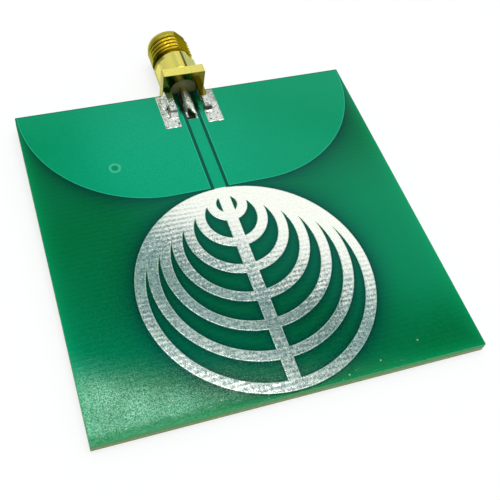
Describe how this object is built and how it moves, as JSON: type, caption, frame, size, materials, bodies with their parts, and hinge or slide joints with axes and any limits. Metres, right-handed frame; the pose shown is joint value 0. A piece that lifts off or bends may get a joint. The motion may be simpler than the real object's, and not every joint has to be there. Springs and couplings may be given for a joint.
{
  "type": "log-periodic antenna",
  "caption": "Flat printed antenna: nested tinned rings with a stem and a coplanar feed line on a square green board, with a threaded coaxial jack soldered to its edge.",
  "frame": {"origin": "on the jack's axis, at its mating plane: the bottom of the mating bore", "axes": "+Y out of the jack's mouth, the way the plug leaves; +Z away from the printed side of the board; +X to the right seen from the board; the board lies towards -Y"},
  "size_m": [0.05, 0.0599, 0.0064],
  "materials": {
    "laminate": "sawn glass-epoxy edge",
    "tinned_copper": "hot-air levelled tin, mottled",
    "solder_mask": "glossy lacquer",
    "gold_plated_brass": "turned, thin gold plating",
    "gold_plated_contact": "gold plating",
    "ptfe": "waxy",
    "solder": "bright solder"
  },
  "bodies": {
    "root": {"laminate": "laminate", "radiator": "tinned_copper", "ground_left": "tinned_copper", "ground_right": "tinned_copper", "underside_pad_left": "tinned_copper", "underside_pad_right": "tinned_copper", "solder_mask_top": "solder_mask", "solder_mask_bottom": "solder_mask", "sma_body": "gold_plated_brass", "sma_contact": "gold_plated_contact", "sma_insulator": "ptfe", "pin_solder": "solder", "leg_solder_top_left": "solder", "leg_solder_top_right": "solder", "leg_solder_bottom_left": "solder", "leg_solder_bottom_right": "solder"}
  },
  "joints": []
}
